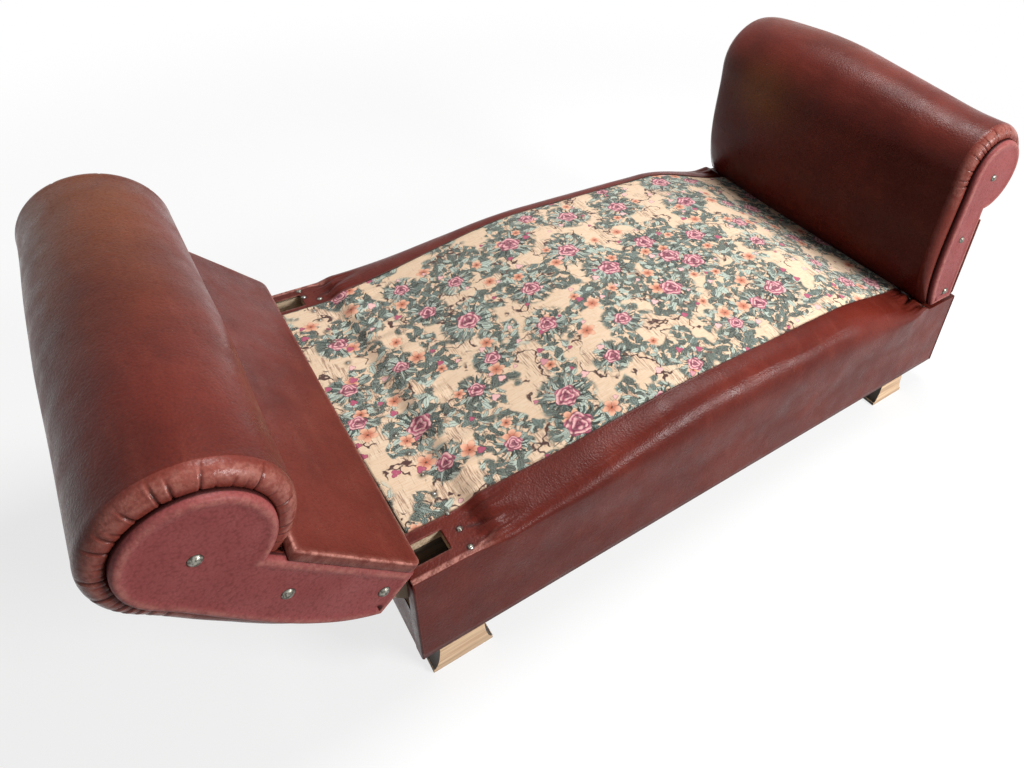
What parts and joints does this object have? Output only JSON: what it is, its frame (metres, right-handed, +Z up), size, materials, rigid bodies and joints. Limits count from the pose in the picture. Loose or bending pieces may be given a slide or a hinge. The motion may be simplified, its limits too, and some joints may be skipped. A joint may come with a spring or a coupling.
{
  "type": "fainting couch",
  "caption": "Low leatherette daybed with a domed tapestry seat, long padded edges, coved block feet and two scroll arms that tilt outward on tongues pivoted in the base.",
  "frame": {"origin": "middle of the couch's outline on the floor, head arm leaning out as pictured", "axes": "+X from the head end to the foot end, -Y towards the near side, +Z up"},
  "size_m": [1.7422, 0.7686, 0.705],
  "materials": {
    "leatherette": "oxblood leatherette, fine grain, satin",
    "pad": "stuffed pad under oxblood leatherette",
    "tapestry": "floral tapestry weave",
    "stuffing": "layered fibre stuffing",
    "frame_wood": "planed softwood",
    "foot_wood": "light oak, worn varnish",
    "bolt_metal": "antique domed bolts",
    "pin_steel": "plain steel"
  },
  "bodies": {
    "base": {"foot_left_near": "foot_wood", "foot_right_near": "foot_wood", "foot_left_far": "foot_wood", "foot_right_far": "foot_wood", "side_rail_near": "frame_wood", "side_rail_far": "frame_wood", "end_rail_low_left": "frame_wood", "end_rail_high_left": "frame_wood", "end_rail_low_right": "frame_wood", "end_rail_high_right": "frame_wood", "end_deck_left": "frame_wood", "end_deck_right": "frame_wood", "pivot_cheek_left_near": "frame_wood", "pivot_cheek_left_far": "frame_wood", "pivot_cheek_right_near": "frame_wood", "pivot_cheek_right_far": "frame_wood", "pivot_pin_left_near": "pin_steel", "pivot_pin_left_far": "pin_steel", "pivot_pin_right_near": "pin_steel", "pivot_pin_right_far": "pin_steel", "seat_deck": "frame_wood", "seat_bearer_1": "frame_wood", "seat_bearer_2": "frame_wood", "seat_bearer_3": "frame_wood", "edge_cover_near": "leatherette", "edge_cover_far": "leatherette", "edge_roll_near": "stuffing", "edge_roll_far": "stuffing", "seat_tapestry": "tapestry", "seat_stuffing": "stuffing", "end_cover_left": "leatherette", "end_cover_right": "leatherette"},
    "left_arm": {"left_arm_fascia_near": "leatherette", "left_arm_fascia_far": "leatherette", "left_arm_bolt_near_1": "bolt_metal", "left_arm_bolt_far_1": "bolt_metal", "left_arm_bolt_near_2": "bolt_metal", "left_arm_bolt_far_2": "bolt_metal", "left_arm_bolt_near_3": "bolt_metal", "left_arm_bolt_far_3": "bolt_metal", "left_arm_pad": "pad", "left_arm_scroll_core": "frame_wood", "left_arm_bottom_rail": "frame_wood", "left_arm_back_panel": "leatherette", "left_arm_tongue_near": "frame_wood", "left_arm_tongue_far": "frame_wood"},
    "right_arm": {"right_arm_fascia_near": "leatherette", "right_arm_fascia_far": "leatherette", "right_arm_bolt_near_1": "bolt_metal", "right_arm_bolt_far_1": "bolt_metal", "right_arm_bolt_near_2": "bolt_metal", "right_arm_bolt_far_2": "bolt_metal", "right_arm_bolt_near_3": "bolt_metal", "right_arm_bolt_far_3": "bolt_metal", "right_arm_pad": "pad", "right_arm_scroll_core": "frame_wood", "right_arm_bottom_rail": "frame_wood", "right_arm_back_panel": "leatherette", "right_arm_tongue_near": "frame_wood", "right_arm_tongue_far": "frame_wood"}
  },
  "joints": [
    {"name": "left_arm_tilt", "type": "hinge", "parent": "base", "child": "left_arm", "pos_m": [-0.50988, 0, 0.145], "axis": [0, 1, 0], "range_deg": [0, 44]},
    {"name": "right_arm_tilt", "type": "hinge", "parent": "base", "child": "right_arm", "pos_m": [0.73112, 0, 0.145], "axis": [0, 1, 0], "range_deg": [0, 44]}
  ]
}
